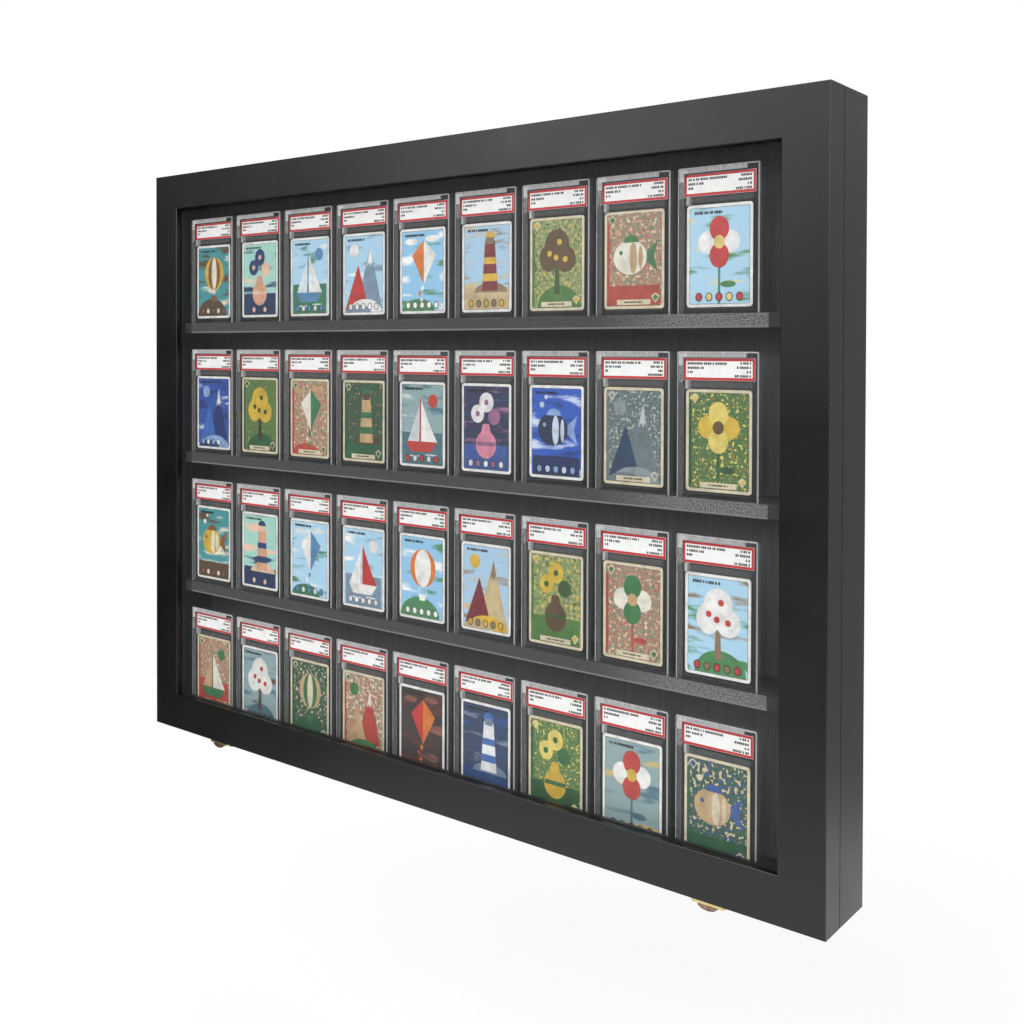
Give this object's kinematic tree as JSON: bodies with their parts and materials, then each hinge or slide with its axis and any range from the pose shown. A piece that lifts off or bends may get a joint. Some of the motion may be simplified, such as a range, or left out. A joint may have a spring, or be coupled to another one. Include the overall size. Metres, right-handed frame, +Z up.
{
  "type": "trading card display case",
  "caption": "Wall-hung wooden display case with a top-hinged glazed door, two draw latches and grooved shelves holding graded cards in clear holders.",
  "frame": {"origin": "midway between the centres of the two keyhole hangers' round holes, on the rear face that meets the wall", "axes": "+X to the right seen from the front, +Y into the wall, +Z up; the glazed door faces -Y"},
  "size_m": [0.889, 0.077, 0.699],
  "materials": {
    "lacquered_wood": "satin black lacquer over close-grained board",
    "shelf_flocked": "dark grey flocked edge and faces",
    "back_hardboard": "matt black painted hardboard",
    "spline_beech": "plain beech",
    "glazing_acrylic": "clear polished acrylic sheet",
    "holder_plastic": "clear moulded polystyrene",
    "label_paper": "white printed paper with a red border",
    "card_stock": "printed card stock with a plain border",
    "zinc_steel": "zinc plated",
    "brass": "polished brass plate",
    "aged_brass": "browned brass"
  },
  "bodies": {
    "case": {"case_left_side": "lacquered_wood", "case_right_side": "lacquered_wood", "case_top_board": "lacquered_wood", "case_bottom_board": "lacquered_wood", "lower_shelf": "shelf_flocked", "middle_shelf": "shelf_flocked", "upper_shelf": "shelf_flocked", "back_panel": "back_hardboard", "keyhole_hanger_left": "zinc_steel", "keyhole_hanger_right": "zinc_steel", "hinge_left_case_leaf": "brass", "hinge_right_case_leaf": "brass", "hinge_left_pin": "brass", "hinge_right_pin": "brass", "latch_left_catch": "brass", "latch_right_catch": "brass", "holder_fronts_row_1": "holder_plastic", "holder_backs_row_1": "holder_plastic", "grade_labels_row_1": "label_paper", "cards_row_1": "card_stock", "holder_fronts_row_2": "holder_plastic", "holder_backs_row_2": "holder_plastic", "grade_labels_row_2": "label_paper", "cards_row_2": "card_stock", "holder_fronts_row_3": "holder_plastic", "holder_backs_row_3": "holder_plastic", "grade_labels_row_3": "label_paper", "cards_row_3": "card_stock", "holder_fronts_row_4": "holder_plastic", "holder_backs_row_4": "holder_plastic", "grade_labels_row_4": "label_paper", "cards_row_4": "card_stock"},
    "door": {"door_top_rail": "lacquered_wood", "door_right_stile": "lacquered_wood", "door_bottom_rail": "lacquered_wood", "door_left_stile": "lacquered_wood", "mitre_splines": "spline_beech", "door_glazing": "glazing_acrylic", "hinge_left_door_leaf": "brass", "hinge_right_door_leaf": "brass", "latch_left_base": "brass", "latch_right_base": "brass", "latch_left_pivot_pin": "brass", "latch_right_pivot_pin": "brass"},
    "left_lever": {"latch_left_lever": "aged_brass"},
    "left_bail": {"latch_left_bail": "brass"},
    "right_lever": {"latch_right_lever": "aged_brass"},
    "right_bail": {"latch_right_bail": "brass"}
  },
  "joints": [
    {"name": "door_hinge", "type": "hinge", "parent": "case", "child": "door", "pos_m": [0, -0.049, 0.0624], "axis": [-1, 0, 0], "range_deg": [0, 180]},
    {"name": "left_latch_lever", "type": "hinge", "parent": "door", "child": "left_lever", "pos_m": [-0.322, -0.0595, -0.632], "axis": [1, 0, 0], "range_deg": [0, 95]},
    {"name": "left_latch_bail", "type": "hinge", "parent": "left_lever", "child": "left_bail", "pos_m": [-0.322, -0.064, -0.6313], "axis": [1, 0, 0], "range_deg": [-83, 0]},
    {"name": "right_latch_lever", "type": "hinge", "parent": "door", "child": "right_lever", "pos_m": [0.338, -0.0595, -0.632], "axis": [1, 0, 0], "range_deg": [0, 95]},
    {"name": "right_latch_bail", "type": "hinge", "parent": "right_lever", "child": "right_bail", "pos_m": [0.338, -0.064, -0.6313], "axis": [1, 0, 0], "range_deg": [-83, 0]}
  ],
  "couplings": [
    {"joint": "left_latch_bail", "follows": "left_latch_lever", "ratio": -0.872},
    {"joint": "right_latch_bail", "follows": "right_latch_lever", "ratio": -0.872}
  ]
}
